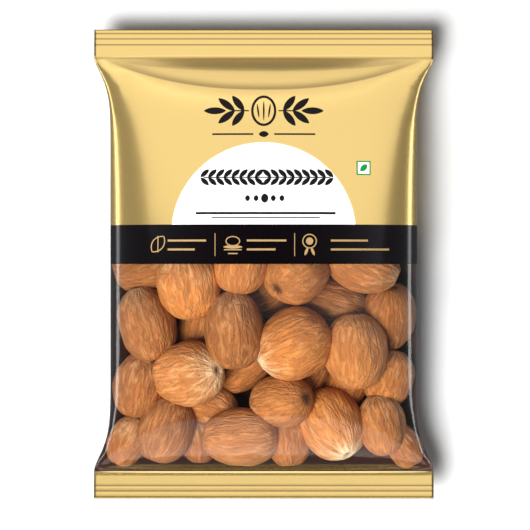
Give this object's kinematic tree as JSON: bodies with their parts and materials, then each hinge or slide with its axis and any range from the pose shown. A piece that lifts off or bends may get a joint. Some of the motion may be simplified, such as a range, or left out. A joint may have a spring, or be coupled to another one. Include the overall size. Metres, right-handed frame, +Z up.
{
  "type": "sealed pillow pack of whole nutmeg",
  "caption": "Sealed pillow pack of whole nutmegs lying face up, gold and white print above a black band, clear film below, ribbed flat end seals.",
  "frame": {"origin": "on the surface the pack lies on, under the middle of the pack", "axes": "+Z up out of the printed face, +Y along the pack to its top end seal, +X to the right across the pack as the face is seen"},
  "size_m": [0.11, 0.152, 0.0344],
  "materials": {
    "pack_film": "printed and clear glossy film",
    "gold_print": "satin gold print under gloss film",
    "nutmeg": "dry wrinkled seed"
  },
  "bodies": {
    "root": {"sealed_pack": "pack_film"}
  },
  "joints": []
}
